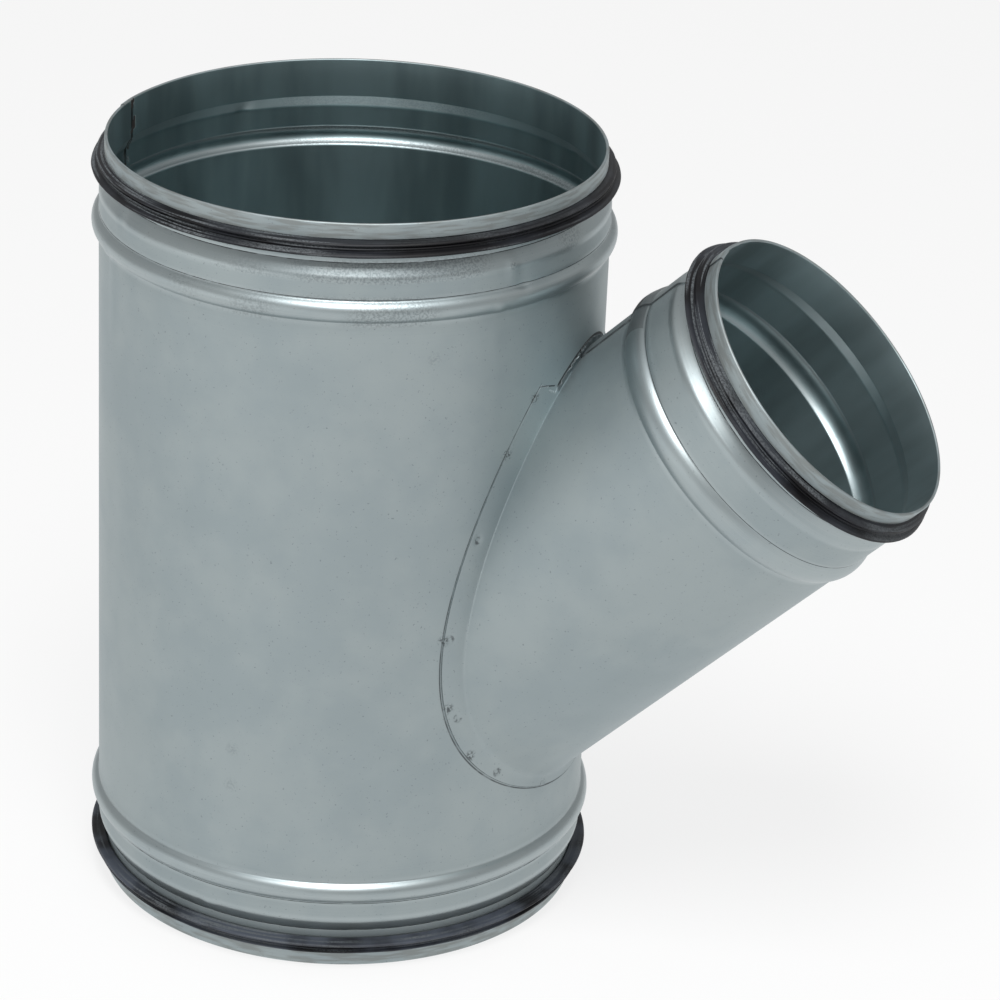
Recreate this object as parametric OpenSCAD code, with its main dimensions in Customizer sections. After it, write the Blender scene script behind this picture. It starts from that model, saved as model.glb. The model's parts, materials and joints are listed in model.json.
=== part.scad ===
// Oblique duct tee in galvanised sheet: a straight main tube with a slanted branch saddled onto it.
// Each of its three ends is a push-in spigot with a closed hem, a rubber lip seal, a seat and a stop bead.
// Units are millimetres. The origin is the middle of the main tube's lower rim.
// Z runs up the main tube and the branch leans toward +X.

/* [Main tube] */
// Nominal outside diameter of the main tube
main_d = 250; // [220:1:400]
// Height at which the lowest line of the branch meets the main tube
branch_low = 79; // [70:0.5:200]
// Length of the main tube above the point where the branch's top line meets it
run_above = 87; // [72:0.5:300]

/* [Branch tube] */
// Nominal outside diameter of the branch tube
branch_d = 160; // [100:1:200]
// Angle between the branch and the main tube, in degrees
branch_angle = 45; // [35:1:75]
// Length of the branch's top line, from the main tube to its rim
branch_neck = 91; // [72:0.5:250]

/* [Sheet] */
// Thickness of the steel sheet
sheet = 0.6; // [0.4:0.05:1.0]
// Width of the overlap where the ends of a rolled sheet meet
lap_w = 11; // [6:0.5:20]
// Direction of the main tube's overlap, in degrees from +X
main_lap_at = 180; // [140:1:220]

/* [Spigot ends] */
// Length of the hem folded back at each rim
hem_len = 7.5; // [4:0.5:9]
// Space inside the hem, which holds the foot of the seal
hem_gap = 0.4; // [0.3:0.05:0.8]
// How far the hem's outside lies below the nominal surface
hem_drop = 2.7; // [2:0.1:4]
// Depth of the seal's seat, from the rim
seat_len = 20.5; // [18:0.5:24]
// Inside radius of the small bends beside a stop bead
bead_fillet = 1.2; // [0.6:0.1:1.8]

/* [Stop beads] */
// Distance from a main rim to the crest of its stop bead
main_bead_at = 42.5; // [38:0.5:48]
// Width of a main stop bead
main_bead_w = 12; // [10:0.5:14]
// Height of a main stop bead above the tube
main_bead_h = 3.6; // [2.5:0.1:4.5]
// Distance from the branch rim to the crest of its stop bead
branch_bead_at = 51; // [42:0.5:54]
// Width of the branch stop bead
branch_bead_w = 14; // [11:0.5:16]
// Height of the branch stop bead above the tube
branch_bead_h = 2.5; // [2:0.1:4]

/* [Saddle flange] */
// Width of the flared edge on the main tube at its lowest point
flange_low_w = 3.5; // [2:0.5:8]
// Width of the flared edge at its highest, where the step cuts it off
flange_high_w = 14.5; // [8:0.5:18]
// Width of the short lip left in the crotch above the flared edge
lip_w = 2.5; // [1:0.5:4]
// Direction on the branch where the flared edge steps down to the lip, in degrees from its side
step_angle = 65; // [50:1:75]
// Clearance between the saddle and the main tube
saddle_gap = 0.05; // [0.02:0.01:0.2]

/* [Lip seals] */
// Distance from a rim to the inner end of its seal
seal_end = 15.5; // [14:0.5:17]
// Thickness of the seal's strip outside the hem
seal_t = 2.6; // [2:0.1:4]
// Height of the tall sealing lip above the nominal surface
tall_lip_h = 3.6; // [2:0.1:5]
// Height of the short sealing lip above the nominal surface
short_lip_h = 1.6; // [0.5:0.1:3]
// Clearance between a seal and the steel around it
seal_gap = 0.05; // [0.02:0.01:0.1]

/* [Hidden] */
$fn = 144;
ARC_FN = 48;
// Number of straight steps in each bend of the sheet
ARC_STEPS = 8;
STEEL = "#97a3a6";
BRANCH_STEEL = "#a3aeb3";
RUBBER = "#2b2d30";

main_r = main_d / 2;
branch_r = branch_d / 2;
// Height at which the branch's axis meets the main tube's axis
axis_z = branch_low - main_r / tan(branch_angle) + branch_r / sin(branch_angle);
// Length of the branch along its axis, from the main tube's axis to its rim
branch_len = (main_r + branch_r * cos(branch_angle)) / sin(branch_angle) + branch_neck;
// Length of the main tube from rim to rim
main_len = branch_low + branch_d / sin(branch_angle) + run_above;

hem_t = 2 * sheet + hem_gap;
fold_r = hem_t / 2;
seat_drop = hem_drop + sheet + hem_gap;
shoulder_r = seat_drop / 2;
band_start = seat_len + seat_drop;
lap_margin = 1;
foot_start = hem_t;

saddle_in = main_r + saddle_gap;
saddle_out = saddle_in + sheet;
// The flared edge's outline is a circle that lies higher on the branch than the branch's own
flange_r = branch_r + (flange_low_w + flange_high_w) / 2;
flange_shift = (flange_high_w - flange_low_w) / 2;
step_half = flange_r * cos(step_angle);

short_tip_r = 0.55;
tall_tip_r = 0.9;

// Points along an arc between two angles; the first is skipped where another arc already ends on it
function arc(x, y, r, from, to, skip = 0) = [
    for (i = [skip:ARC_STEPS])
        let (a = from + (to - from) * i / ARC_STEPS)
            [x + r * cos(a), y + r * sin(a)]
];

function reversed(points) = [for (i = [len(points) - 1:-1:0]) points[i]];

// The same points seen from the far end of a tube
function flipped(points, length) = [for (p = points) [p.x, length - p.y]];

// Closed hem: the sheet folds outward at the rim, round the seal's foot. depth is how far below the
// sheet's outer face the line runs, and it is 0 or one sheet thickness.
function hem_line(r, depth) = concat(
    [[r - hem_drop - sheet + depth, hem_len]],
    arc(r - hem_drop - fold_r, fold_r, hem_gap / 2 + depth, 0, -180)
);

// Shoulder of two quarter bends, from the seat out to the nominal surface
function shoulder_line(r, depth) =
    let (mid_x = r - sheet / 2 - shoulder_r)
        concat(
            arc(mid_x, seat_len, shoulder_r - sheet / 2 + depth, 180, 90),
            arc(mid_x, band_start, shoulder_r + sheet / 2 - depth, 270, 360, 1)
        );

// Rolled stop bead: a round crest between two small bends
function bead_line(r, at, w, h, depth) =
    let (
        crest_r = (w * w / 4 + h * h) / (2 * h) - bead_fillet,
        turn = 2 * atan(2 * h / w),
        bend_x = r + bead_fillet,
        bend_r = bead_fillet + depth
    )
        concat(
            arc(bend_x, at - w / 2, bend_r, 180, 180 - turn),
            arc(r + h - crest_r, at, crest_r - depth, -turn, turn, 1),
            arc(bend_x, at + w / 2, bend_r, 180 + turn, 180, 1)
        );

// One face of the sheet from the hem's edge to the far side of the stop bead
function spigot_line(r, at, w, h, depth) =
    concat(hem_line(r, depth), shoulder_line(r, depth), bead_line(r, at, w, h, depth));

function main_line(depth) = spigot_line(main_r, main_bead_at, main_bead_w, main_bead_h, depth);

function branch_line(depth) = spigot_line(branch_r, branch_bead_at, branch_bead_w, branch_bead_h, depth);

// Section of the main tube's sheet, with a spigot at each end
module main_section() {
    polygon(concat(
        main_line(sheet),
        reversed(flipped(main_line(sheet), main_len)),
        flipped(main_line(0), main_len),
        reversed(main_line(0))
    ));
}

// Section of the branch's sheet, from its spigot down to the main tube's axis
module branch_section() {
    polygon(concat(
        branch_line(sheet),
        [[branch_r - sheet, branch_len], [branch_r, branch_len]],
        reversed(branch_line(0))
    ));
}

// Second ply of a lap between two depths: it is rooted in the first and pressed flat at the bends
module lap_section(r, from, to) {
    translate([r - sheet / 2, from + lap_margin])
        square([sheet * 3 / 2, to - from - 2 * lap_margin]);
}

// Tapered lip with a round tip
module lip_section(r, root_from, root_to, tip_x, tip_y, tip_r) {
    polygon([[r, root_from], [tip_x, tip_y - tip_r], [tip_x, tip_y + tip_r], [r, root_to]]);
    translate([tip_x, tip_y])
        circle(tip_r, $fn = ARC_FN);
}

// Rubber seal: a thin foot inside the hem, a strip on the seat, a short lip and a tall lip that leans inward
module seal_section(r) {
    seat_r = r - seat_drop + seal_gap;
    strip_start = hem_len + seal_gap;
    strip_r = seat_r + seal_t;
    short_at = strip_start + short_tip_r + 1.4;
    tall_at = seal_end - tall_tip_r - 1.2;
    translate([seat_r, foot_start])
        square([hem_gap - 2 * seal_gap, strip_start - foot_start]);
    translate([seat_r, strip_start])
        square([seal_t, seal_end - strip_start]);
    lip_section(strip_r, strip_start, short_at + short_tip_r, r + short_lip_h - short_tip_r, short_at,
                short_tip_r);
    lip_section(strip_r, short_at + short_tip_r, seal_end, r + tall_lip_h - tall_tip_r, tall_at, tall_tip_r);
}

// Places a piece drawn along Z on the branch's axis, from the main tube's axis outward
module on_branch() {
    translate([0, 0, axis_z])
        rotate([0, branch_angle, 0])
            children();
}

// Places a spigot, drawn upward from its rim, at one of the three ends
module at_bottom() {
    children();
}

module at_top() {
    translate([0, 0, main_len])
        mirror([0, 0, 1])
            children();
}

module at_branch_end() {
    on_branch()
        translate([0, 0, branch_len])
            mirror([0, 0, 1])
                children();
}

// Turns a lap's section over its width, centred on a direction
module lap_turn(r, direction) {
    turn = lap_w / r * 180 / PI;
    rotate([0, 0, direction - turn / 2])
        rotate_extrude(angle = turn)
            children();
}

// Draws a section at both ends of the main tube
module both_main_ends() {
    children();
    translate([0, main_len])
        mirror([0, 1])
            children();
}

module main_roll() {
    bead_from = main_bead_at - main_bead_w / 2;
    bead_to = main_bead_at + main_bead_w / 2;
    rotate_extrude()
        main_section();
    lap_turn(main_r, main_lap_at) {
        both_main_ends()
            lap_section(main_r, band_start, bead_from);
        lap_section(main_r, bead_to, main_len - bead_to);
    }
}

module branch_roll() {
    bead_from = branch_bead_at - branch_bead_w / 2;
    bead_to = branch_bead_at + branch_bead_w / 2;
    rotate_extrude()
        branch_section();
    lap_turn(branch_r, 180) {
        lap_section(branch_r, band_start, bead_from);
        lap_section(branch_r, bead_to, branch_len);
    }
}

// Round space on the main tube's axis, long enough for the branch to end in at any size
module main_space(r) {
    translate([0, 0, -branch_len])
        cylinder(r = r, h = main_len + 2 * branch_len);
}

// Flared edge of the branch sheet, which lies on the main tube
module saddle_flange() {
    difference() {
        intersection() {
            difference() {
                main_space(saddle_out);
                main_space(saddle_in);
            }
            on_branch()
                translate([-flange_shift, 0, 0])
                    cylinder(r = flange_r, h = branch_len);
        }
        on_branch()
            cylinder(r = branch_r - sheet, h = branch_len);
        difference() {
            on_branch()
                translate([-2 * flange_r, -step_half, 0])
                    cube([2 * flange_r, 2 * step_half, branch_len]);
            on_branch()
                cylinder(r = branch_r + lip_w, h = branch_len);
        }
    }
}

module main_tube() {
    color(STEEL)
        difference() {
            main_roll();
            on_branch()
                cylinder(r = branch_r - sheet, h = branch_len);
        }
}

module branch_tube() {
    color(BRANCH_STEEL) {
        difference() {
            at_branch_end() branch_roll();
            main_space(saddle_in);
        }
        saddle_flange();
    }
}

module seal(r) {
    color(RUBBER)
        rotate_extrude()
            seal_section(r);
}

module bottom_seal() {
    at_bottom() seal(main_r);
}

module top_seal() {
    at_top() seal(main_r);
}

module branch_seal() {
    at_branch_end() seal(branch_r);
}

main_tube();
branch_tube();
top_seal();
bottom_seal();
branch_seal();
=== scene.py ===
# %% [markdown]
# # Oblique duct tee in galvanised sheet
# A straight ventilation tube with a smaller tube saddled onto it at 45 degrees. Each of its three ends is
# a push-in spigot: a folded hem, a rubber lip seal, a stepped seat and a rolled stop bead. The packed
# model gives every place and size, and this lesson adds what a sheet metal worker's tools leave: folds,
# laps, soft bends, weld marks and the look of zinc.

# %% Load the frame
import json
import math

import bmesh
import bpy
from mathutils import Matrix, Vector


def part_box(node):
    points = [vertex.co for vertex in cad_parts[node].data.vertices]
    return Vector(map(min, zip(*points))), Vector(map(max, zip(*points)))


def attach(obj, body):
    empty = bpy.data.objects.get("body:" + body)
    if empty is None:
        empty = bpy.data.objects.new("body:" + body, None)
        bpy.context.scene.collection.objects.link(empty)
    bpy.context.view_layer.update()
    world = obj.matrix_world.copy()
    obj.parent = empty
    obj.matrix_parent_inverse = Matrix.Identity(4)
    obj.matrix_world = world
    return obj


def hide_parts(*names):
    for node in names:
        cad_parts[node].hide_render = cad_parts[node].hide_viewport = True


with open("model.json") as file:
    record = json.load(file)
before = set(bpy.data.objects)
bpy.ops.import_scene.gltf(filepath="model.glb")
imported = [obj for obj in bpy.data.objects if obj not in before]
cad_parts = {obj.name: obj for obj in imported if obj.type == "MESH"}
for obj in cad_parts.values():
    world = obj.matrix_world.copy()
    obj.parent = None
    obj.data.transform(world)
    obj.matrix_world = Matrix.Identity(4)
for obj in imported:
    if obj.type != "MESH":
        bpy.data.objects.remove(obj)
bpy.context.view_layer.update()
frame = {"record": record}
MM = 0.001

# %% [markdown]
# ## Sizes from the frame
# The branch's mount gives its direction and its end, just inside the rim. From these follow the height at
# which the two axes cross, the branch's length, and the turn and shift that lay an upright branch at its
# slant.

# %% Read the main sizes from the frame
UP = Vector((0.0, 0.0, 1.0))
MOUNT_INSET = 2.5 * MM
mounts = {mount["name"]: mount for mount in frame["record"]["mounts"]}
branch_end = Vector(mounts["branch_spigot"]["pos_m"])
branch_axis = Vector(mounts["branch_spigot"]["axis"]).normalized()
main_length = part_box("main_tube")[1].z
axis_height = branch_end.z - branch_end.x * branch_axis.z / branch_axis.x
branch_length = (branch_end - UP * axis_height).length + MOUNT_INSET
branch_turn = math.atan2(branch_axis.x, branch_axis.z)
BRANCH_PLACE = Matrix.Translation(UP * axis_height) @ Matrix.Rotation(branch_turn, 4, "Y")
print("main length", round(main_length, 4), "branch length", round(branch_length, 4))
print("height of the branch's axis", round(axis_height, 4))

# %% [markdown]
# ## Camera
# The photograph looks down on the tee from the front and a little to the right, through a long lens. A
# long lens from two metres away keeps the tubes' sides nearly parallel. The camera is turned in three
# steps, as on a tripod: round the object, down toward it, and a slight roll.

# %% Make the camera
CAMERA_AZIMUTH = math.radians(20.30)
CAMERA_ELEVATION = math.radians(24.19)
CAMERA_ROLL = math.radians(2.57)
CAMERA_DISTANCE = 2.0064
CAMERA_LENS = 143.06
VIEW_CENTRE = Vector((0.0718, 0.0275, 0.2020))

round_object = Matrix.Rotation(CAMERA_AZIMUTH, 4, "Z")
down = Matrix.Rotation(math.pi / 2 - CAMERA_ELEVATION, 4, "X")
camera_turn = round_object @ down @ Matrix.Rotation(CAMERA_ROLL, 4, "Z")
camera_stand = VIEW_CENTRE + camera_turn.col[2].xyz * CAMERA_DISTANCE
bpy.ops.object.camera_add()
camera = bpy.context.object
camera.data.lens = CAMERA_LENS
camera.matrix_world = Matrix.Translation(camera_stand) @ camera_turn
bpy.context.scene.camera = camera
print("camera at", [round(c, 3) for c in camera.matrix_world.translation])

# %% [markdown]
# ## Materials from small parts
# Shader nodes are sums, masks and textures wired together. Writing the sums as Python expressions keeps
# them readable: a Value holds one output socket, and adding or multiplying it makes the Math node that
# does so.

# %% Write node sums as expressions
class Value:
    """A number that changes over the surface."""

    def __init__(self, finish, socket):
        self.finish = finish
        self.socket = socket

    def __add__(self, other):
        return self.finish.math("ADD", self, other)

    def __sub__(self, other):
        return self.finish.math("SUBTRACT", self, other)

    def __rsub__(self, other):
        return self.finish.math("SUBTRACT", other, self)

    def __mul__(self, other):
        return self.finish.math("MULTIPLY", self, other)

    __radd__ = __add__
    __rmul__ = __mul__

# %% Build a material node by node
class Finish:
    """A material around one Principled shader."""

    def __init__(self, name, **constants):
        self.material = bpy.data.materials.new(name)
        self.material.use_nodes = True
        self.tree = self.material.node_tree
        self.tree.nodes.clear()
        self.shader = self.node("ShaderNodeBsdfPrincipled", {}, constants)
        self.output = self.node("ShaderNodeOutputMaterial", {}, {"Surface": self.shader.outputs[0]})
        self.place = self.node("ShaderNodeTexCoord").outputs["Object"]

    def node(self, kind, settings=None, inputs=None):
        node = self.tree.nodes.new(kind)
        for name, value in (settings or {}).items():
            setattr(node, name, value)
        for key, value in (inputs or {}).items():
            self.feed(node.inputs[key], value)
        return node

    def feed(self, socket, value):
        """Links a value to a socket, or sets the socket where the value is a plain number or colour."""
        if isinstance(value, Value):
            value = value.socket
        if isinstance(value, bpy.types.NodeSocket):
            self.tree.links.new(value, socket)
        else:
            socket.default_value = value

    def math(self, operation, *terms):
        node = self.node("ShaderNodeMath", {"operation": operation}, dict(enumerate(terms)))
        return Value(self, node.outputs[0])

    def noise(self, scale, detail=3.0, where=None):
        where = where or self.place
        node = self.node("ShaderNodeTexNoise", {}, {"Vector": where, "Scale": scale, "Detail": detail})
        return Value(self, node.outputs[0])

    def step(self, value, low, high, out_low=0.0, out_high=1.0):
        """Smooth change from one number to another as a value goes from low to high."""
        limits = {"From Min": low, "From Max": high, "To Min": out_low, "To Max": out_high}
        node = self.node("ShaderNodeMapRange", {"interpolation_type": "SMOOTHSTEP"},
                         {"Value": value, **limits})
        return Value(self, node.outputs[0])

    def line(self, value, centre, half, soft):
        """Mask that is 1 where a value is near its centre."""
        return self.step(self.math("ABSOLUTE", value - centre), half, half + soft, 1.0, 0.0)

    def distance(self, point, where=None):
        """Distance from a point that is given in millimetres."""
        centre = [c * MM for c in point]
        node = self.node("ShaderNodeVectorMath", {"operation": "DISTANCE"},
                         {0: where or self.place, 1: centre})
        return Value(self, node.outputs["Value"])

    def mixed(self, mask, under, over):
        """One colour over another where a mask is 1."""
        node = self.node("ShaderNodeMix", {"data_type": "RGBA"}, {"Factor": mask, 6: under, 7: over})
        return node.outputs[2]

# %% [markdown]
# ## Floor, backdrop and light
# The tee stands on pale paper in a pale room. A Light Path node tells the paper who looks at it: the
# camera and the metal's reflections see it nearly white, while the light that it throws back on the
# object is that of plain paper. The camera still sees a fifth of the plain paper, and with it the
# object's shadow.
#
# The paper's white is kept out of the sampling of lamps. It is no lamp, and if it were sampled as one,
# faint hard edges would show on the tubes where they turn away from the floor.

# %% Lay the floor
FLOOR_SIZE = 12.0
FLOOR_DROP = 0.5 * MM
WHITE = (1.0, 1.0, 1.0, 1.0)
PAPER = (0.80, 0.80, 0.80, 1.0)
FLOOR_WHITENESS = {"Is Camera Ray": 0.80, "Is Glossy Ray": 1.0, "Is Transmission Ray": 1.0}
floor_finish = Finish("pale_floor", **{"Base Color": PAPER, "Roughness": 0.9})
light_path = floor_finish.node("ShaderNodeLightPath")
whitened = sum(Value(floor_finish, light_path.outputs[ray]) * share
               for ray, share in FLOOR_WHITENESS.items())
white = floor_finish.node("ShaderNodeEmission", {}, {"Color": WHITE, "Strength": 1.0})
paper = floor_finish.node("ShaderNodeMixShader", {},
                          {0: whitened, 1: floor_finish.shader.outputs[0], 2: white.outputs[0]})
floor_finish.feed(floor_finish.output.inputs["Surface"], paper.outputs[0])
bpy.ops.mesh.primitive_plane_add(size=FLOOR_SIZE, location=(0.0, 0.0, -FLOOR_DROP))
floor = bpy.context.object
floor.name = "floor"
floor.data.materials.append(floor_finish.material)
floor_finish.material.cycles.emission_sampling = "NONE"
print("floor", FLOOR_SIZE, "m wide")

# %% [markdown]
# ## Light
# The room lights the object from all sides at half strength, and is white to the camera. Two soft boxes,
# one overhead and a faint one to the left, draw the highlights along the beads.

# %% Light the room
ROOM_LEVEL = 0.50
scene = bpy.context.scene
scene.view_settings.view_transform = "Standard"
scene.world = bpy.data.worlds.new("white_room")
scene.world.use_nodes = True
room = scene.world.node_tree
room.nodes.clear()
air = room.nodes.new("ShaderNodeBackground")
air.inputs["Color"].default_value = WHITE
seen_by = room.nodes.new("ShaderNodeLightPath")
level = room.nodes.new("ShaderNodeMapRange")
level.inputs["To Min"].default_value = ROOM_LEVEL
level.inputs["To Max"].default_value = 1.0
room.links.new(seen_by.outputs["Is Camera Ray"], level.inputs["Value"])
room.links.new(level.outputs[0], air.inputs["Strength"])
sky = room.nodes.new("ShaderNodeOutputWorld")
room.links.new(air.outputs[0], sky.inputs["Surface"])
print("room level", ROOM_LEVEL)

# %% Hang the soft boxes
LAMP_AIM = Vector((0.06, 0.0, 0.2))


def softbox(name, azimuth, elevation, distance, width, height, power):
    """Lamp that faces the middle of the tee from a direction given in degrees."""
    around = math.radians(azimuth)
    up = math.radians(elevation)
    toward = Vector((math.cos(around) * math.cos(up), math.sin(around) * math.cos(up), math.sin(up)))
    bpy.ops.object.light_add(type="AREA", location=LAMP_AIM + toward * distance)
    lamp = bpy.context.object
    lamp.name = name
    lamp.rotation_euler = toward.to_track_quat("Z", "Y").to_euler()
    lamp.data.shape = "RECTANGLE"
    lamp.data.size = width
    lamp.data.size_y = height
    lamp.data.energy = power
    print(name, [round(c, 2) for c in lamp.location])


softbox("overhead_softbox", azimuth=-71, elevation=62, distance=2.2, width=0.9, height=1.0, power=42)
softbox("left_softbox", azimuth=-120, elevation=5, distance=2.4, width=3.2, height=0.8, power=6)

# %% [markdown]
# ## Drawing a sheet's edge and turning it
# A rolled tube is the same all round, so its section is drawn once and spun. The section is one line, the
# middle of the sheet, drawn in edit mode from a single point: straight stretches are extrusions and each
# bend is a spin of the last point about the bend's centre. This follows what the rolling machine does to
# the edge.

# %% Draw the edge of a sheet
SHEET = 0.6 * MM


def deselect_all():
    bpy.ops.object.select_all(action="DESELECT")


def edit():
    bpy.ops.object.mode_set(mode="EDIT")
    bpy.ops.mesh.select_mode(type="VERT")


def leave_edit():
    bpy.ops.object.mode_set(mode="OBJECT")


class SheetEdge:
    """A line in the upright plane through the tube's axis, given by radius and distance from the rim."""

    def __init__(self, name, direction, rim, inward, radius, distance):
        turn = math.radians(direction)
        self.out = Vector((math.cos(turn), math.sin(turn), 0.0))
        self.rim = rim
        self.inward = inward
        self.here = (radius, distance)
        deselect_all()
        bpy.ops.mesh.primitive_plane_add(size=SHEET, location=self.place(radius, distance))
        self.piece = bpy.context.object
        self.piece.name = name
        bpy.ops.object.transform_apply()
        edit()
        bpy.ops.mesh.merge(type="CENTER")

    def place(self, radius, distance):
        return self.out * radius + UP * (self.rim + self.inward * distance)

    def straight(self, radius, distance):
        step = self.place(radius, distance) - self.place(*self.here)
        bpy.ops.mesh.extrude_vertices_move(TRANSFORM_OT_translate={"value": step})
        self.here = (radius, distance)

    def bend(self, radius, distance, degrees, steps):
        """Turns round a centre; a positive angle turns from outward to away from the rim."""
        angle = math.radians(degrees)
        bpy.ops.mesh.spin(steps=steps, angle=angle * self.inward, center=self.place(radius, distance),
                          axis=UP.cross(self.out))
        out = self.here[0] - radius
        along = self.here[1] - distance
        self.here = (radius + out * math.cos(angle) - along * math.sin(angle),
                     distance + out * math.sin(angle) + along * math.cos(angle))

# %% [markdown]
# ## The spigot
# From the rim inward a spigot has: the hem, folded outward over the seal's foot; the seat, pressed in so
# that the seal lies low; a shoulder of two bends, a sharp one in and a wide one out, up to the full
# diameter; and the stop bead, an arc between two small fillets. The distances from the rim were measured
# on the photograph, along the line that faces the camera, and the radii follow from the tube's own.

# %% Draw one spigot
HEM_DROP = 2.7 * MM
HEM_GAP = 0.4 * MM
HEM_LENGTH = 7.5 * MM
SEAT_LENGTH = 19.6 * MM
SHOULDER_SLOPE = math.radians(30)
SHOULDER_CREASE = 0.8 * MM
SHOULDER_ROUND = 5.0 * MM
BEAD_FILLET = 1.2 * MM
BEND_STEPS = 6
CREST_STEPS = 12
hem_fold = (HEM_GAP + SHEET) / 2
hem_out = hem_fold + SHEET / 2
seat_drop = HEM_DROP + SHEET + HEM_GAP
slope_rise = seat_drop - (SHOULDER_CREASE + SHOULDER_ROUND) * (1 - math.cos(SHOULDER_SLOPE))
slope_run = slope_rise / math.tan(SHOULDER_SLOPE)
shoulder_end = SEAT_LENGTH + slope_run + (SHOULDER_CREASE + SHOULDER_ROUND) * math.sin(SHOULDER_SLOPE)


def draw_spigot(name, direction, rim, inward, radius, bead_at, bead_width, bead_height):
    """Draws the sheet's middle line from the hem's free edge to just past the stop bead."""
    middle = radius - SHEET / 2
    edge = SheetEdge(name, direction, rim, inward, middle - HEM_DROP, HEM_LENGTH)
    edge.straight(middle - HEM_DROP, HEM_LENGTH / 2)
    edge.straight(middle - HEM_DROP, hem_out)
    edge.bend(middle - HEM_DROP - hem_fold, hem_out, -180, 2 * BEND_STEPS)
    edge.straight(middle - seat_drop, SEAT_LENGTH / 2)
    edge.straight(middle - seat_drop, SEAT_LENGTH)
    slope = math.degrees(SHOULDER_SLOPE)
    edge.bend(middle - seat_drop + SHOULDER_CREASE, SEAT_LENGTH, -slope, BEND_STEPS)
    edge.straight(edge.here[0] + slope_rise, edge.here[1] + slope_run)
    edge.bend(middle - SHOULDER_ROUND, shoulder_end, slope, BEND_STEPS)
    crest = (bead_width ** 2 / 4 + bead_height ** 2) / (2 * bead_height) - BEAD_FILLET
    turn = math.degrees(2 * math.atan(2 * bead_height / bead_width))
    edge.straight(middle, bead_at - bead_width / 2)
    edge.bend(radius + BEAD_FILLET, bead_at - bead_width / 2, -turn, BEND_STEPS)
    edge.bend(radius + bead_height - crest, bead_at, 2 * turn, CREST_STEPS)
    edge.bend(radius + BEAD_FILLET, bead_at + bead_width / 2, -turn, BEND_STEPS)
    return edge

# %% [markdown]
# ## The lap
# The sheet is rolled up until its ends overlap by a finger's width. So the spin is more than a full turn,
# and over its last stretch each new column is drawn a little further out, until the end lies on top of
# the start.

# %% Turn a section into a lapped tube
LAP_WIDTH = 11 * MM
FIT_GAP = 0.05 * MM
LAP_LIFT = SHEET + FIT_GAP
RAMP_STEPS = 12


def turn_with_lap(radius, steps):
    """Spins the drawn line anticlockwise round the tube's axis and lays its end over its start."""
    column = 2 * math.pi / steps
    lap_steps = round(LAP_WIDTH / radius / column)
    bpy.ops.mesh.select_all(action="SELECT")
    bpy.ops.mesh.spin(steps=steps - RAMP_STEPS, angle=-column * (steps - RAMP_STEPS), axis=UP)
    for i in range(RAMP_STEPS):
        bpy.ops.mesh.spin(steps=1, angle=-column, axis=UP)
        grow = (radius + LAP_LIFT * (i + 1) / RAMP_STEPS) / (radius + LAP_LIFT * i / RAMP_STEPS)
        bpy.ops.transform.resize(value=(grow, grow, 1.0), center_override=(0.0, 0.0, 0.0))
    bpy.ops.mesh.spin(steps=lap_steps, angle=-column * lap_steps, axis=UP)
    print("columns", steps + lap_steps, "lap in degrees", round(math.degrees(column * lap_steps), 1))

# %% [markdown]
# ## Main tube
# The tube is the same at both ends, so only its lower half is drawn and turned, and a Mirror modifier
# makes the rest. Solidify gives the sheet its thickness, half to each side of the drawn line. The saddle
# hole is then cut by a Boolean with a slanted cylinder on the branch's axis, as the real hole is nibbled
# to the branch.

# %% Turn the main tube
MAIN_R = 125 * MM
MAIN_BEAD = {"bead_at": 42.5 * MM, "bead_width": 12 * MM, "bead_height": 3.6 * MM}
MAIN_COLUMNS = 360
MAIN_SEAM = 180
WALL_STEPS = 4
past_bead = MAIN_BEAD["bead_at"] + MAIN_BEAD["bead_width"] / 2
edge = draw_spigot("main_tube_sheet", MAIN_SEAM, -main_length / 2, 1, MAIN_R, **MAIN_BEAD)
for i in range(1, WALL_STEPS + 1):
    edge.straight(MAIN_R - SHEET / 2, past_bead + (main_length / 2 - past_bead) * i / WALL_STEPS)
turn_with_lap(MAIN_R, MAIN_COLUMNS)
leave_edit()
main_tube = edge.piece
mirror = main_tube.modifiers.new("other_half", "MIRROR")
mirror.use_axis = (False, False, True)
mirror.merge_threshold = 0.01 * MM
bpy.ops.object.modifier_apply(modifier=mirror.name)
main_tube.location.z = main_length / 2
bpy.ops.object.transform_apply()
print("main tube", len(main_tube.data.vertices), "points")

# %% [markdown]
# ## Marks in the sheet
# Handling leaves a few dents in the bands, and spot welds leave a shallow round print each in the flange.
# Each is a Displace modifier that works through a vertex group whose weights fade with the distance from
# the mark. The marks are pressed while the sheet is still one layer, so that both of its sides follow.

# %% Press marks into a sheet
def press(piece, marks):
    """Pushes the sheet in by each mark's depth (out where it is negative) at its place and radius."""
    for place, radius, depth in marks:
        centre = Vector(place) * MM
        group = piece.vertex_groups.new(name="mark")
        pressed = 0
        for point in piece.data.vertices:
            away = (point.co - centre).length / (radius * MM)
            if away < 1.0:
                group.add([point.index], (1.0 - away * away) ** 2, "REPLACE")
                pressed += 1
        push = piece.modifiers.new("mark", "DISPLACE")
        push.strength = -depth * MM
        push.mid_level = 0.0
        push.vertex_group = group.name
        bpy.context.view_layer.objects.active = piece
        bpy.ops.object.modifier_apply(modifier=push.name)
        piece.vertex_groups.clear()
        print(piece.name, "mark at", [round(c) for c in place], "moved", pressed, "points")


def on_tube(direction, height):
    """Place on the main tube in millimetres, from a direction in degrees and a height in millimetres."""
    turn = math.radians(direction)
    return (MAIN_R / MM * math.cos(turn), MAIN_R / MM * math.sin(turn), height)


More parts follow.
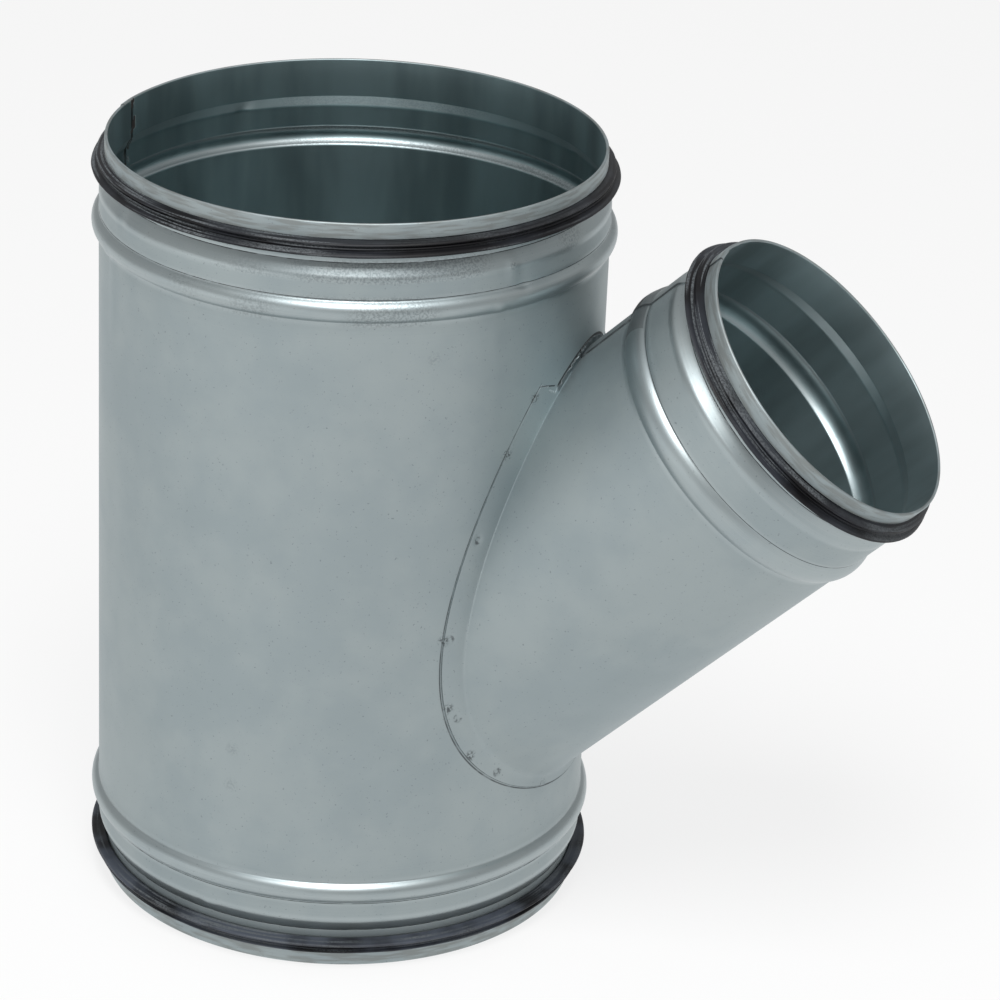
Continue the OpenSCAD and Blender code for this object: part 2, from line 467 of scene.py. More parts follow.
# Each mark has a place, a radius and a depth, in millimetres.
MAIN_MARKS = ((on_tube(-31, 366), 4.5, 0.9), (on_tube(-28, 356), 5.5, -0.7), (on_tube(-34.6, 348), 5, 1.1),
              (on_tube(-98, 28), 7, 0.9), (on_tube(-130, 366), 6, -0.7), (on_tube(-135, 346), 6, 0.9),
              (on_tube(141, 367), 6, 0.8), (on_tube(51, 366), 6, 0.8))

# %% Give the sheet its thickness
def thicken(piece):
    """Gives a sheet its thickness, half to each side of the drawn line."""
    bpy.context.view_layer.objects.active = piece
    edit()
    bpy.ops.mesh.select_all(action="SELECT")
    bpy.ops.mesh.normals_make_consistent(inside=False)
    leave_edit()
    wall = piece.modifiers.new("sheet", "SOLIDIFY")
    wall.thickness = SHEET
    wall.offset = 0.0
    bpy.ops.object.modifier_apply(modifier=wall.name)


press(main_tube, MAIN_MARKS)
thicken(main_tube)

# %% Cut the saddle hole
BRANCH_R = 80 * MM
HOLE_SIDES = 240
deselect_all()
bpy.ops.mesh.primitive_cylinder_add(vertices=HOLE_SIDES, radius=BRANCH_R - SHEET, depth=branch_length,
                                    location=BRANCH_PLACE @ (UP * branch_length / 2),
                                    rotation=(0.0, branch_turn, 0.0))
cutter = bpy.context.object
hole = main_tube.modifiers.new("saddle_hole", "BOOLEAN")
hole.object = cutter
hole.operation = "DIFFERENCE"
hole.solver = "EXACT"
bpy.context.view_layer.objects.active = main_tube
bpy.ops.object.modifier_apply(modifier=hole.name)
bpy.data.objects.remove(cutter)
print("main tube with its hole", len(main_tube.data.polygons), "faces")

# %% [markdown]
# ## Branch tube
# The branch is turned upright in its own frame, with Z along its axis, and only then laid at its slant.
# Its foot has to follow the main tube: each ring near the foot is dropped along Z onto a helper cylinder
# by a Shrinkwrap modifier. The rings above the foot drop onto the same helper, raised by their height, so
# they stay parallel to it and the bend between wall and flange can be made soft.

# %% Turn the branch
BRANCH_BEAD = {"bead_at": 51 * MM, "bead_width": 14 * MM, "bead_height": 2.5 * MM}
BRANCH_COLUMNS = 480
BRANCH_SEAM = 181
# Heights of the rings above the foot, in millimetres.
FOOT_RINGS = (16.0, 13.0, 10.5, 8.5, 6.8, 5.3, 4.0, 2.8, 1.8, 0.9, 0.0)
RING_MARK = 0.4 * MM
WALL_START = 4 * MM
branch_wall = BRANCH_R - SHEET / 2
wall_end = BRANCH_BEAD["bead_at"] + BRANCH_BEAD["bead_width"] / 2 + WALL_START
edge = draw_spigot("branch_tube_sheet", BRANCH_SEAM, branch_length, -1, BRANCH_R, **BRANCH_BEAD)
for i in range(len(FOOT_RINGS)):
    edge.straight(branch_wall, wall_end + i * RING_MARK)
turn_with_lap(BRANCH_R, BRANCH_COLUMNS)
branch_tube = edge.piece

# %% Choose points by their place
def choose(piece, wanted):
    """Selects the points for which a test of the point is true, and gives their numbers."""
    mesh = bmesh.from_edit_mesh(piece.data)
    mesh.verts.index_update()
    for point in mesh.verts:
        point.select_set(bool(wanted(point)))
    mesh.select_flush_mode()
    bmesh.update_edit_mesh(piece.data)
    return [point.index for point in mesh.verts if point.select]


def ring_height(i):
    return branch_length - wall_end - i * RING_MARK


foot_points = []
for i in range(len(FOOT_RINGS)):
    foot_points.append(choose(branch_tube, lambda point: abs(point.co.z - ring_height(i)) < RING_MARK / 4))
print("foot rings", [len(ring) for ring in foot_points])

# %% Draw the flange out of the foot
FLANGE_LOW = 3.5 * MM
FLANGE_HIGH = 14.5 * MM
FLANGE_RINGS = 10
flange_width = (FLANGE_LOW + FLANGE_HIGH) / 2
flange_shift = (FLANGE_HIGH - FLANGE_LOW) / 2
ring_step = (-flange_shift / FLANGE_RINGS, 0.0, 0.0)


def flange_reach(count):
    """Radius of the flange after a count of its rings."""
    return branch_wall + flange_width * count / FLANGE_RINGS


flange_points = []
for i in range(FLANGE_RINGS):
    bpy.ops.mesh.extrude_edges_move(TRANSFORM_OT_translate={"value": ring_step})
    grow = flange_reach(i + 1) / flange_reach(i)
    ring_centre = (-flange_shift * (i + 1) / FLANGE_RINGS, 0.0, 0.0)
    bpy.ops.transform.resize(value=(grow, grow, 1.0), center_override=ring_centre)
    mesh = bmesh.from_edit_mesh(branch_tube.data)
    flange_points.append([point.index for point in mesh.verts if point.select])
leave_edit()
print("flange rings", [len(ring) for ring in flange_points])

# %% Drop the foot and the flange onto the main tube
HELPER_SIDES = 720
HELPER_LENGTH = 2.0
branch_tube.matrix_world = BRANCH_PLACE
deselect_all()
bpy.ops.mesh.primitive_cylinder_add(vertices=HELPER_SIDES, radius=MAIN_R + FIT_GAP + SHEET / 2,
                                    depth=HELPER_LENGTH)
helper = bpy.context.object


def drop(points, height):
    """Moves points along the branch onto the saddle, raised along the branch by a height."""
    helper.location = branch_axis * height
    bpy.context.view_layer.update()
    group = branch_tube.vertex_groups.new(name="dropped")
    group.add(points, 1.0, "REPLACE")
    wrap = branch_tube.modifiers.new("drop", "SHRINKWRAP")
    wrap.wrap_method = "PROJECT"
    wrap.use_project_z = True
    wrap.use_positive_direction = False
    wrap.use_negative_direction = True
    wrap.target = helper
    wrap.vertex_group = group.name
    bpy.context.view_layer.objects.active = branch_tube
    bpy.ops.object.modifier_apply(modifier=wrap.name)
    branch_tube.vertex_groups.clear()


for ring, height in zip(foot_points, FOOT_RINGS):
    drop(ring, height * MM)
drop([i for ring in flange_points for i in ring], 0.0)
bpy.data.objects.remove(helper)
foot = [branch_tube.data.vertices[i].co.z for i in foot_points[-1]]
print("foot from", round(min(foot), 4), "to", round(max(foot), 4), "along the branch")

# %% [markdown]
# ## Soft bend and step of the flange
# The spinner's roller leaves a fairly sharp bend at the sides of the saddle and a wide soft one below.
# Smoothing the rings round the bend a few times, and the lower ones more often, gives both. Toward the
# crotch the roller can't reach, so there the flange is cut back to a short rough lip.

# %% Soften the bend
def direction(point):
    """Direction round the branch in degrees: 0 is its lowest line and 180 its highest."""
    return abs(math.degrees(math.atan2(point.co.y, point.co.x)))


def soften(foot_height, flange_count, reach, repeat):
    """Smooths the rings near the bend, as far round the branch as a reach in degrees."""
    near_bend = {i for ring, height in zip(foot_points, FOOT_RINGS) if height <= foot_height for i in ring}
    near_bend |= {i for ring in flange_points[:flange_count] for i in ring}
    softened = choose(branch_tube, lambda point: point.index in near_bend and direction(point) < reach)
    bpy.ops.mesh.vertices_smooth(factor=0.5, repeat=repeat)
    print("softened", len(softened), "points", repeat, "times")


edit()
soften(foot_height=0.9, flange_count=1, reach=165, repeat=2)
soften(foot_height=4.0, flange_count=3, reach=76, repeat=4)
soften(foot_height=6.8, flange_count=4, reach=64, repeat=8)
soften(foot_height=10.5, flange_count=6, reach=50, repeat=14)

# %% Cut the step and leave the lip
STEP_FOOT = 33 * MM
STEP_EDGE = 44 * MM
HIDDEN_SIDE = 1.12
LIP_RINGS = 2
LIP_BURR = 0.9 * MM
step_at = {}
for i in range(LIP_RINGS, FLANGE_RINGS):
    for point in flange_points[i]:
        step_at[point] = STEP_FOOT + (STEP_EDGE - STEP_FOOT) * i / (FLANGE_RINGS - 1)
lip = set(flange_points[LIP_RINGS - 1])


def past_step(point):
    """True on the crotch's side of the step."""
    half = step_at.get(point.index, STEP_FOOT)
    return point.co.x < 0 and -half < point.co.y < half * HIDDEN_SIDE


choose(branch_tube, lambda point: point.index in lip and past_step(point))
bpy.ops.transform.vertex_random(offset=LIP_BURR, uniform=0.0, normal=0.6, seed=4)
choose(branch_tube, lambda point: point.index in step_at and past_step(point))
bpy.ops.mesh.delete(type="VERT")
leave_edit()
print("branch tube", len(branch_tube.data.vertices), "points")

# %% Lay the branch at its slant, press its marks and give it its thickness
# Places of the spot welds on the side that faces the camera, in millimetres.
WELD_PRINTS = ((99.9, -76.2, 228.6), (91.4, -86.1, 177.9), (95.5, -81.6, 134.5), (109.5, -61.4, 98.3),
               (122.3, -28.6, 79.1))
PRINT_RADIUS = 2.8
PRINT_DEPTH = 0.8
both_sides = [(x, y * side, z) for x, y, z in WELD_PRINTS for side in (1, -1)]
deselect_all()
branch_tube.select_set(True)
bpy.ops.object.transform_apply()
press(branch_tube, [(place, PRINT_RADIUS, PRINT_DEPTH) for place in both_sides])
thicken(branch_tube)

# %% [markdown]
# ## Rubber seals
# A seal is one extruded strip closed to a ring: a thin foot held in the hem, a strip on the seat, a low
# ridge, a middle ridge and a tall lip that leans back toward the bead. Its section is drawn as a closed
# line, spun all round and closed by merging doubles. A Displace modifier with a soft clouds texture makes
# the lips a little uneven, as rubber that has been pushed in and out, and a Subdivision Surface then
# rounds the whole ring.

# %% Turn one seal
SEAL_COLUMNS = 200
# Each corner of the section has a height above the tube and a distance from the rim, in millimetres.
TALL_LIP = ((-3.67, 15.3), (-2.6, 15.7), (-1.3, 15.0), (0.9, 15.1), (2.7, 15.0), (3.75, 14.5), (3.85, 13.7),
            (2.6, 12.9), (1.1, 12.5), (0.35, 12.2))
MIDDLE_RIDGE = ((0.7, 11.6), (1.3, 11.3), (0.9, 10.8), (0.0, 10.6))
LOW_RIDGE = ((0.8, 10.1), (1.6, 9.6), (1.3, 8.9), (0.2, 8.5), (-0.9, 8.1), (-1.6, 7.8), (-3.0, 7.75))
SEAL_FOOT = ((-3.33, 7.3), (-3.33, 4.5), (-3.36, 1.9), (-3.64, 1.9), (-3.67, 4.5))
SEAL_SECTION = ((-3.67, 8.0), *TALL_LIP, *MIDDLE_RIDGE, *LOW_RIDGE, *SEAL_FOOT)
LIP_FOOT = 0.3 * MM
LIP_WAVE = 0.5 * MM
WAVE_LENGTH = 18 * MM
MERGE_DISTANCE = 0.05 * MM
wave_clouds = bpy.data.textures.new("lip_waves", "CLOUDS")
wave_clouds.noise_scale = WAVE_LENGTH


def turn_seal(name, radius, rim, inward):
    """Turns the seal's section round a tube, with its foot toward the rim."""
    section = [(radius + out * MM, along * MM) for out, along in SEAL_SECTION]
    edge = SheetEdge(name, 0.0, rim, inward, *section[0])
    for corner in section[1:] + section[:1]:
        edge.straight(*corner)
    bpy.ops.mesh.select_all(action="SELECT")
    bpy.ops.mesh.spin(steps=SEAL_COLUMNS, angle=2 * math.pi, axis=UP)
    bpy.ops.mesh.select_all(action="SELECT")
    bpy.ops.mesh.remove_doubles(threshold=MERGE_DISTANCE)
    bpy.ops.mesh.normals_make_consistent(inside=False)
    leave_edit()
    seal = edge.piece
    lip_points = [point.index for point in seal.data.vertices if point.co.xy.length > radius + LIP_FOOT]
    lips = seal.vertex_groups.new(name="lips")
    lips.add(lip_points, 1.0, "REPLACE")
    wave = seal.modifiers.new("waves", "DISPLACE")
    wave.texture = wave_clouds
    wave.texture_coords = "LOCAL"
    wave.strength = LIP_WAVE
    wave.vertex_group = lips.name
    bpy.ops.object.modifier_apply(modifier=wave.name)
    rounding = seal.modifiers.new("rounding", "SUBSURF")
    rounding.levels = 1
    rounding.render_levels = 1
    bpy.ops.object.modifier_apply(modifier=rounding.name)
    seal.vertex_groups.clear()
    print(name, len(seal.data.polygons), "faces")
    return seal


bottom_seal = turn_seal("bottom_rubber_seal", MAIN_R, 0.0, 1)
top_seal = turn_seal("top_rubber_seal", MAIN_R, main_length, -1)
branch_seal = turn_seal("branch_rubber_seal", BRANCH_R, branch_length, -1)
deselect_all()
branch_seal.select_set(True)
branch_seal.matrix_world = BRANCH_PLACE
bpy.ops.object.transform_apply()

# %% [markdown]
# ## Galvanised sheet
# Zinc is a bluish grey metal with a soft shine. Its surface shows wide faint clouds, a fine grain with
# specks, and fine scratches. All of these are noises at different scales, in features per metre. The
# scratches run round the tube, so a tube's finish first turns the object's coordinates to the tube's own
# axis, and finds the way round it, along it and out from it. The same recipe then serves both tubes.

# %% Find the way round a tube
class TubeFinish(Finish):
    """A finish on a tube: it knows the way round it, along it and out from its axis."""

    def __init__(self, name, radius, axis_from, axis_turn):
        super().__init__(name)
        self.axis_turn = axis_turn
        self.axes = self.turned(axis_from, axis_turn)
        across, side, self.along = self.axes
        self.round = self.math("ARCTAN2", side, across) * radius
        self.out = self.reach(across, side)

    def apart(self, vector):
        parts = self.node("ShaderNodeSeparateXYZ", {}, {0: vector})
        return [Value(self, socket) for socket in parts.outputs]

    def turned(self, axis_from, axis_turn):
        """Place across, beside and along an axis that is tilted in the branch's plane."""
        own = self.node("ShaderNodeMapping", {"vector_type": "TEXTURE"},
                        {"Vector": self.place, "Location": axis_from, "Rotation": (0.0, axis_turn, 0.0)})
        return self.apart(own.outputs[0])

    def outward(self):
        """How far a face looks away from the tube's axis, from -1 to 1."""
        across, side = self.axes[:2]
        normal = self.node("ShaderNodeNewGeometry").outputs["Normal"]
        facing = self.node("ShaderNodeMapping", {"vector_type": "TEXTURE"},
                           {"Vector": normal, "Rotation": (0.0, self.axis_turn, 0.0)})
        facing_across, facing_side = self.apart(facing.outputs[0])[:2]
        return self.math("DIVIDE", facing_across * across + facing_side * side, self.out)

    def reach(self, across, side):
        return self.math("SQRT", across * across + side * side)

    def drawn_noise(self, round_scale, along_scale, out_scale):
        """Noise that is drawn out along the way with the smaller scale."""
        ways = {0: self.round * round_scale, 1: self.along * along_scale, 2: self.out * out_scale}
        where = self.node("ShaderNodeCombineXYZ", {}, ways)
        return self.noise(1.0, 3.0, where.outputs[0])

    def streaks(self, along_scale, round_scale):
        """Noise drawn out round the tube."""
        return self.drawn_noise(round_scale, along_scale, along_scale)

    def cover(self, mask, colour, rough, metal=1.0):
        """Lays another surface over the finish where a mask is 1."""
        self.colour = self.mixed(mask, self.colour, colour)
        self.rough = self.rough * (1 - mask) + rough * mask
        self.metal = self.metal * (1 - mask) + metal * mask

    def finish(self, bump_strength, bump_distance):
        """Wires colour, roughness, metal and bump to the shader."""
        bump = self.node("ShaderNodeBump", {}, {"Strength": bump_strength, "Distance": bump_distance,
                                                "Height": self.height})
        self.feed(self.shader.inputs["Base Color"], self.colour)
        self.feed(self.shader.inputs["Roughness"], self.rough)
        self.feed(self.shader.inputs["Metallic"], self.metal)
        self.feed(self.shader.inputs["Normal"], bump.outputs[0])
        return self.material

# %% [markdown]
# ## Zinc, burnished rolls and painted shade
# Where rollers pressed a bead or a shoulder, the zinc is burnished: smoother, and lined with fine
# scratches round the tube. Sharp corners and the free edges of laps get painted shade: a shade line is a
# mask that is 1 where a distance is small, broken up by a noise. The inner side is painted another colour,
# on the main tube a darker, greener one as painted shade. It is found by its normal, which looks toward
# the axis.

# %% Mix the zinc
ZINC_DARK = (0.338, 0.391, 0.406, 1.0)
ZINC_LIGHT = (0.372, 0.422, 0.431, 1.0)
ZINC_BRIGHT = (0.42, 0.46, 0.465, 1.0)
# Dark zinc for pits, crazing and scrapes, and for painted shade in corners, along edges and in weld prints.
ZINC_MARKS_AND_SHADE = (0.085, 0.095, 0.10, 1.0)
HEM_SCUFF = (0.235, 0.245, 0.235, 1.0)
CLOUD_SCALE = 16
MOTTLE_SCALE = 70
SHINE_SCALE = 40
PIT_SCALE = 850
GRAIN_SCALE = 650
CRAZE_SCALE = 1000
CRAZE_PATCH_SCALE = 14
SHADE_BREAK_SCALE = 140
SCRATCHES = {"along_scale": 2600, "round_scale": 12}
SCUFFS = {"along_scale": 500, "round_scale": 60}
SKIN_WIPES = {"round_scale": 34, "along_scale": 7, "out_scale": 34}
SKIN_DARKER = 0.75
SKIN_LIGHTER = 1.22
ROLL_FADE = 12 * MM
ROLL_CREASE_SHADE = 0.14 * MM
BEAD_FOOT_SHADE = 0.12 * MM


class ZincFinish(TubeFinish):
    """Galvanised sheet with clouds, specks, burnished rolls and dirt in its corners."""

    def __init__(self, name, radius, axis_from, axis_turn):
        super().__init__(name, radius, axis_from, axis_turn)
        clouds = self.noise(CLOUD_SCALE, 2.0) + 0.5 * self.noise(MOTTLE_SCALE, 3.0)
        self.colour = self.mixed(self.step(clouds, low=0.55, high=0.95), ZINC_DARK, ZINC_LIGHT)
        self.rough = 0.54 + 0.10 * self.noise(SHINE_SCALE, 2.0)
        self.metal = 1.0
        pits = self.step(self.noise(PIT_SCALE, 1.0), low=0.70, high=0.77)
        self.height = 0.35 * self.noise(GRAIN_SCALE, 4.0) - 0.6 * pits
        self.cover(0.35 * pits, ZINC_MARKS_AND_SHADE, rough=0.6)

    def paint_inner_side(self, colour):
        """Paints the faces that look toward the axis in a colour wiped lighter and darker; on the main tube
        a darker, greener colour that is painted shade.
        """
        wiped = self.step(self.drawn_noise(**SKIN_WIPES), low=0.30, high=0.70)
        inner_colour = self.mixed(wiped, [SKIN_DARKER * c for c in colour], [SKIN_LIGHTER * c for c in colour])
        inside = self.step(self.outward(), low=-0.95, high=-0.8, out_low=1.0, out_high=0.0)
        self.cover(inside, inner_colour, rough=0.42)
        return inside

    def burnish(self, rim_distance, bead_at, bead_width):
        """Smooths the rolled shoulder and bead, lines them round the tube, paints shade in the creases at
        their feet, and scuffs the hem.
        """
        shoulder_middle = (SEAT_LENGTH + shoulder_end) / 2
        shoulder = self.line(rim_distance, shoulder_middle, shoulder_end - shoulder_middle, soft=2 * MM)
        bead = self.line(rim_distance, bead_at, bead_width / 2, soft=2.5 * MM)
        rolled = self.math("MAXIMUM", bead, shoulder)
        fade_from = bead_at + bead_width
        banded = self.step(rim_distance, fade_from, fade_from + ROLL_FADE, out_low=1.0, out_high=0.12)
        lines = self.streaks(**SCRATCHES)
        self.rough = self.rough - 0.16 * rolled + 0.12 * banded * (lines - 0.5)
        self.height = self.height + 0.5 * banded * lines
        self.cover(0.3 * rolled * self.step(lines, low=0.48, high=0.60), ZINC_BRIGHT, rough=0.34)
        # Painted shade in the creases at the seat's end and at the bead's foot.
        self.painted_shade_line(rim_distance - SEAT_LENGTH, ROLL_CREASE_SHADE)
        self.painted_shade_line(rim_distance - (bead_at - bead_width / 2), BEAD_FOOT_SHADE)
        scuffs = self.step(self.streaks(**SCUFFS), low=0.40, high=0.62)
        on_hem = self.line(rim_distance, 0.0, HEM_LENGTH, soft=1 * MM)
        self.cover(0.6 * scuffs * on_hem, HEM_SCUFF, rough=0.6)
        return rolled

    def craze(self, where):
        """Fine dark crazing where rolling has cracked the zinc."""
        crazed = self.step(self.noise(CRAZE_SCALE, 2.0), low=0.42, high=0.60)
        patches = self.step(self.noise(CRAZE_PATCH_SCALE, 2.0), low=0.50, high=0.60)
        self.cover(0.35 * where * crazed * patches, ZINC_MARKS_AND_SHADE, rough=0.5)

    def painted_shade_line(self, distance, half, where=1.0):
        """Painted shade: a dark line, broken up by a noise, where a distance is small, as in a crease or
        under an edge.
        """
        broken = self.step(self.noise(SHADE_BREAK_SCALE, 3.0), low=0.30, high=0.55, out_low=0.45)
        self.cover(where * broken * self.line(distance, 0.0, half, half), ZINC_MARKS_AND_SHADE, rough=0.75)

# %% [markdown]
# ## Painted shade and marks on the saddle
# Seen along the branch, the flange's edge is a circle with a shifted centre, as it was drawn before it was
# dropped. So the distance past the edge is the reach from that centre less the circle's radius. Painted
# shade runs along that edge and along the cut of the step. Above the step only the short lip is left, with
# painted shade on it and a painted dark gap of shade under it. Scrapes and weld marks lie at places that
# are given in millimetres: a scrape is a noise that fades with the distance, and a weld's mark is a ring of
# painted shade in its print, broken up by a noise.

# %% Paint shade along the flange
GAP_SHADE = (0.004, 0.004, 0.004, 1.0)
EDGE_SHADE = 0.14 * MM
CUT_SHADE = 0.18 * MM
CUT_OFFSET = 1.8 * MM
LIP_SHIFT = 2 * MM
LIP_WIDTH = 1.4 * MM
LIP_GAP_SHADE = 0.3 * MM


def flange_shade(zinc):
    """Painted shade along the edge of the saddle's flange, along the cut of its step, and on and under its
    lip, on the flange and on the tube beside it.
    """
    across, side, along = zinc.turned((0.0, 0.0, axis_height), branch_turn)
    away = zinc.math("ABSOLUTE", side)
    near_branch = zinc.step(along, 20 * MM, 40 * MM)
    crotch_side = zinc.step(across, -0.5 * MM, 0.0, out_low=1.0, out_high=0.0)
    below_step = zinc.math("MAXIMUM", zinc.step(away, STEP_EDGE, STEP_EDGE + 0.5 * MM),
                           zinc.step(across, 0.0, 0.5 * MM))
    past_edge = zinc.reach(across + flange_shift, side) - (BRANCH_R + flange_width)
    # Painted shade along the flange's outer edge.
    zinc.painted_shade_line(past_edge, EDGE_SHADE, 0.8 * below_step * near_branch)

    # Painted shade along the cut of the step.
    cut = away - (STEP_EDGE + CUT_OFFSET + past_edge * ((STEP_EDGE - STEP_FOOT) / flange_width))
    on_flange = zinc.line(past_edge, -flange_width / 2, flange_width / 2, soft=0.2 * MM)
    zinc.painted_shade_line(cut, CUT_SHADE, on_flange * crotch_side * near_branch)

    # Painted shade over the lip, and a black line of painted shade in the gap under its edge.
    lip_edge = zinc.reach(across + LIP_SHIFT, side) - (BRANCH_R + LIP_WIDTH)
    above_step = zinc.step(away, STEP_FOOT - 1 * MM, STEP_FOOT, out_low=1.0, out_high=0.0)
    on_lip = (1 - below_step) * above_step * near_branch
    zinc.cover(0.6 * on_lip * zinc.line(lip_edge, -1.5 * MM, 1 * MM, soft=0.5 * MM), ZINC_MARKS_AND_SHADE, rough=0.6)
    zinc.cover(0.9 * on_lip * zinc.line(lip_edge, 0.0, LIP_GAP_SHADE, soft=LIP_GAP_SHADE), GAP_SHADE, rough=0.9, metal=0.0)

# %% Draw scrapes, and painted shade in the weld prints
SCRAPE_SCALE = 800
WELD_SHADE_SCALE = 330
WELD_RING = 1.7 * MM


def scrape(zinc, points, radius, strength):
    """Small dark scrapes round points."""
    grains = zinc.step(zinc.noise(SCRAPE_SCALE, 2.0), low=0.44, high=0.58)
    for point in points:
        near = zinc.step(zinc.distance(point), 0.2 * radius, radius, out_low=1.0, out_high=0.0)
        zinc.cover(strength * grains * near, ZINC_MARKS_AND_SHADE, rough=0.7)


def weld_print_shade(zinc, points):
    """Painted shade: a dark ring round each spot weld's print, broken up by a noise, the same on both sides
    of the tee.
    """
    folded = zinc.node("ShaderNodeVectorMath", {"operation": "MULTIPLY"},
                       {0: zinc.place, 1: (1.0, -1.0, 1.0)})
    both = zinc.node("ShaderNodeVectorMath", {"operation": "MINIMUM"},
                     {0: zinc.place, 1: folded.outputs[0]})
    weld_shade_patches = zinc.step(zinc.noise(WELD_SHADE_SCALE, 3.0), low=0.42, high=0.62)
    for point in points:
        ring = zinc.line(zinc.distance(point, both.outputs[0]), WELD_RING, 0.2 * MM, soft=1.1 * MM)
        zinc.cover(0.8 * weld_shade_patches * ring, ZINC_MARKS_AND_SHADE, rough=0.65)

# %% [markdown]
# ## Two zinc materials
# The main tube's crazing, dents and burrs lie where the photograph shows them. Its seam is opposite the
# branch: outside, a line of painted shade runs along the lap's free edge, and inside, a painted shadow line
# with rust near the mouth. The branch has its own axis, a lighter inner colour, and painted shade in the
# weld prints.

# %% Zinc for the main tube
# Painted shade: the main tube's inner side is painted darker and greener.
MAIN_INSIDE_SHADE = (0.26, 0.345, 0.36, 1.0)
RUST = (0.011, 0.007, 0.006, 1.0)
RUST_SCALE = 230
ZINC_BUMP = {"bump_strength": 0.35, "bump_distance": 0.12 * MM}
# Places of the burrs along the flange's edge and of the scrapes, in millimetres.
EDGE_BURRS = ((115.6, -49.2, 295.0), (108.1, -63.9, 269.8), (88.9, -88.8, 177.5), (91.7, -85.8, 140.5),
              (100.3, -75.6, 111.9))
DENT_SCRAPES = (on_tube(-34.6, 348), on_tube(-31, 366), on_tube(-17, 388), on_tube(-135, 346))
FAINT_SCRAPES = ((-4.8, -125.5, 114.8), (-5.6, -125.5, 95.2), (81.9, -95.2, 325.1))
LAP_EDGE_SHADE = 0.3 * MM
SEAM_SHADOW = 2.4 * MM
SEAM_RUST = 2.6 * MM

main_zinc = ZincFinish("galvanised_main", MAIN_R, (0.0, 0.0, 0.0), 0.0)
nearer_rim = main_zinc.math("MINIMUM", main_zinc.along, main_length - main_zinc.along)
near_top = main_zinc.step(main_zinc.along, main_length - 60 * MM, main_length - 50 * MM)
rolled = main_zinc.burnish(nearer_rim, MAIN_BEAD["bead_at"], MAIN_BEAD["bead_width"])
main_zinc.craze(rolled * near_top)
inside = main_zinc.paint_inner_side(MAIN_INSIDE_SHADE)
flange_shade(main_zinc)
scrape(main_zinc, EDGE_BURRS, radius=3.5 * MM, strength=0.8)
scrape(main_zinc, DENT_SCRAPES, radius=2.5 * MM, strength=0.5)
scrape(main_zinc, FAINT_SCRAPES, radius=5 * MM, strength=0.16)

# %% Draw the main tube's seam
seam_side = main_zinc.math("ABSOLUTE", main_zinc.round) - math.pi * MAIN_R
front_side = main_zinc.step(main_zinc.axes[1], -1 * MM, 0.0, out_low=1.0, out_high=0.0)
# Painted shade along the lap's free edge outside.
main_zinc.painted_shade_line(seam_side + LAP_WIDTH, LAP_EDGE_SHADE, front_side * (1 - inside))
# Painted shadow inside along the seam: a broken black line.
broken = main_zinc.step(main_zinc.noise(SHADE_BREAK_SCALE, 3.0), low=0.30, high=0.50, out_low=0.5)
shadow = main_zinc.line(seam_side, 0.0, SEAM_SHADOW, soft=0.6 * MM)
main_zinc.cover(0.95 * inside * front_side * broken * shadow, GAP_SHADE, rough=0.9)
spots = main_zinc.step(main_zinc.noise(RUST_SCALE, 2.0), low=0.47, high=0.55)
rusty = near_top * spots * main_zinc.line(seam_side, 0.0, SEAM_RUST, soft=2 * MM)
not_outside = main_zinc.step(main_zinc.outward(), low=0.3, high=0.6, out_low=1.0, out_high=0.0)
main_zinc.cover(rusty * not_outside, RUST, rough=0.9, metal=0.0)
main_finish = main_zinc.finish(**ZINC_BUMP)
print("main zinc", len(main_finish.node_tree.nodes), "nodes")

# %% Zinc for the branch
BRANCH_INSIDE = (0.36, 0.44, 0.455, 1.0)
BRANCH_LAP_EDGE = math.radians(189 - 360)
branch_zinc = ZincFinish("galvanised_branch", BRANCH_R, (0.0, 0.0, axis_height), branch_turn)
branch_zinc.burnish(branch_length - branch_zinc.along, BRANCH_BEAD["bead_at"], BRANCH_BEAD["bead_width"])
branch_zinc.paint_inner_side(BRANCH_INSIDE)
flange_shade(branch_zinc)
scrape(branch_zinc, EDGE_BURRS, radius=4 * MM, strength=0.8)
weld_print_shade(branch_zinc, WELD_PRINTS)
# Painted shade along the free edge of the branch's lap.
branch_zinc.painted_shade_line(branch_zinc.round - BRANCH_LAP_EDGE * BRANCH_R, LAP_EDGE_SHADE)
branch_finish = branch_zinc.finish(**ZINC_BUMP)
print("branch zinc", len(branch_finish.node_tree.nodes), "nodes")

# %% [markdown]
# ## Rubber
# The seals are black rubber with a faint bluish bloom, strongest on the bottom seal. Dust settles on the
# ridges, drawn out in streaks that run round the ring. It is painted heavier on the side away from the
# branch, where the lighter dust also stands in for the light that falls on that side.

# %% Mix the rubber
RUBBER_BLACK = (0.002, 0.002, 0.003, 1.0)
RUBBER_DUST = (0.105, 0.116, 0.124, 1.0)
RUBBER_BLOOM = (0.055, 0.064, 0.082, 1.0)
RUBBER_BUMP = {"bump_strength": 0.5, "bump_distance": 0.25 * MM}
BLOOM_SCALE = 30
PATCH_SCALE = 26
DUST_SCALE = 1100
PEBBLE_SCALE = 400
DUST_STREAKS = {"along_scale": 700, "round_scale": 16}
DUST_AND_LIGHT_SIDE = 1.5


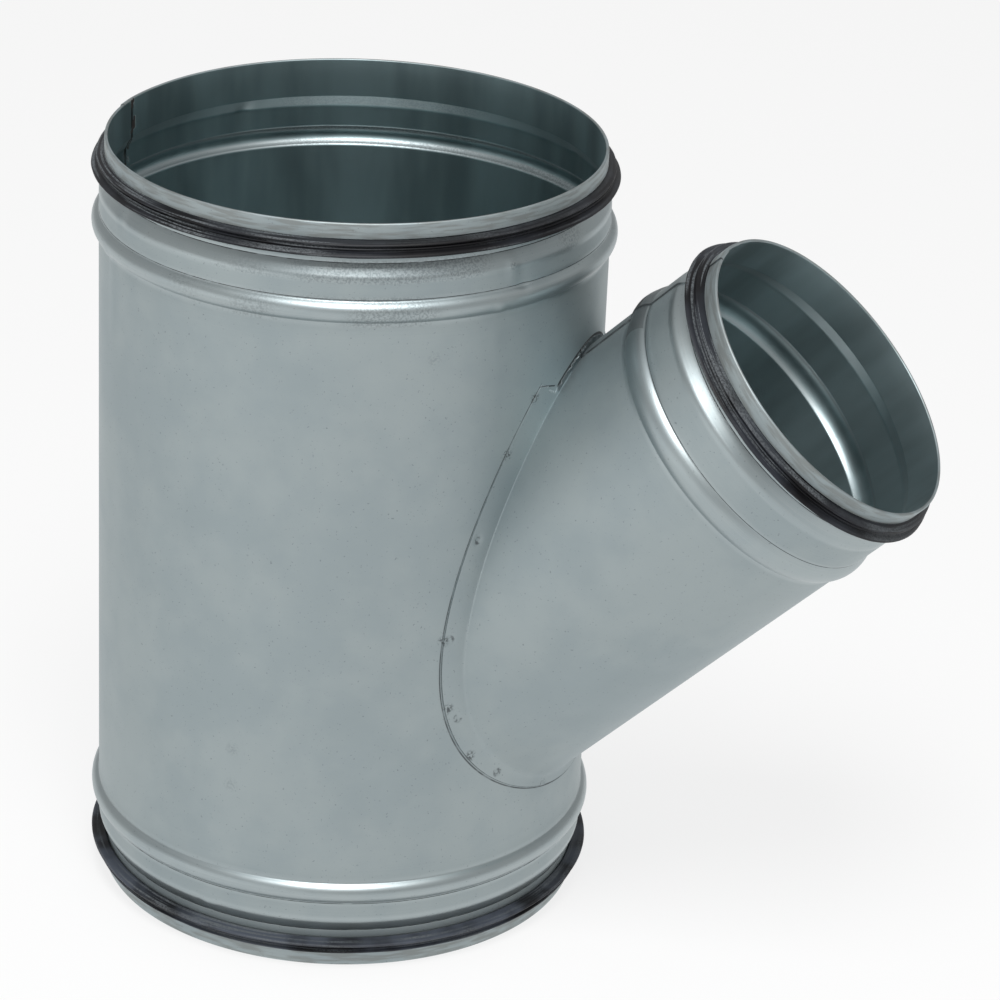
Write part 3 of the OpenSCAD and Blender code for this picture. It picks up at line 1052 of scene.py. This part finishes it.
class RubberFinish(TubeFinish):
    """Black rubber with a bluish bloom, and with dust drawn out in streaks round the ring, heavier as
    painted light on the side away from the branch.
    """

    def __init__(self, name, radius, axis_from, axis_turn, bloom):
        super().__init__(name, radius, axis_from, axis_turn)
        bloomed = self.step(self.noise(BLOOM_SCALE, 3.0), low=0.35, high=0.60)
        self.colour = self.mixed(bloom * bloomed, RUBBER_BLACK, RUBBER_BLOOM)
        self.rough = 0.5
        self.metal = 0.0
        self.feed(self.shader.inputs["Specular IOR Level"], 0.25)
        lines = self.streaks(**DUST_STREAKS)
        # More dust on the side away from the branch: partly dust, partly painted light on that side.
        patches = self.noise(PATCH_SCALE, 2.0) - DUST_AND_LIGHT_SIDE * self.axes[0]
        patches = self.step(patches, low=0.35, high=0.60, out_low=0.15)
        grains = self.step(self.noise(DUST_SCALE, 2.0), low=0.35, high=0.60, out_low=0.3)
        dusty = 0.95 * patches * grains * self.step(lines, low=0.47, high=0.56)
        self.cover(dusty, RUBBER_DUST, rough=0.75, metal=0.0)
        self.height = 0.6 * lines + 0.4 * self.noise(PEBBLE_SCALE, 3.0)


def rubber(name, radius, axis_from, axis_turn, bloom):
    return RubberFinish(name, radius, axis_from, axis_turn, bloom).finish(**RUBBER_BUMP)


top_rubber = rubber("rubber_top", MAIN_R, (0.0, 0.0, 0.0), 0.0, bloom=0.15)
bottom_rubber = rubber("rubber_bottom", MAIN_R, (0.0, 0.0, 0.0), 0.0, bloom=1.0)
branch_rubber = rubber("rubber_branch", BRANCH_R, (0.0, 0.0, axis_height), branch_turn, bloom=0.3)
print("rubber", len(top_rubber.node_tree.nodes), "nodes")

# %% [markdown]
# ## Hand the pieces over
# Every piece rides on the tee's one body, stands for its CAD node and carries its finish. Bends are
# shaded smooth, while edges sharper than 35 degrees, such as the sheet's cut edges, stay crisp.

# %% Give each piece its finish
SMOOTH_ANGLE = math.radians(35)
PIECES = ((main_tube, "main_tube", main_finish, "galvanised_sheet"),
          (branch_tube, "branch_tube", branch_finish, "galvanised_sheet"),
          (top_seal, "top_seal", top_rubber, "seal_rubber"),
          (bottom_seal, "bottom_seal", bottom_rubber, "seal_rubber"),
          (branch_seal, "branch_seal", branch_rubber, "seal_rubber"))
for piece, node, finish, slot in PIECES:
    deselect_all()
    piece.select_set(True)
    bpy.context.view_layer.objects.active = piece
    bpy.ops.object.shade_smooth_by_angle(angle=SMOOTH_ANGLE)
    piece.data.materials.clear()
    piece.data.materials.append(finish)
    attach(piece, "root")
    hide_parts(node)
    print(piece.name, sum(len(face.vertices) - 2 for face in piece.data.polygons), "triangles")
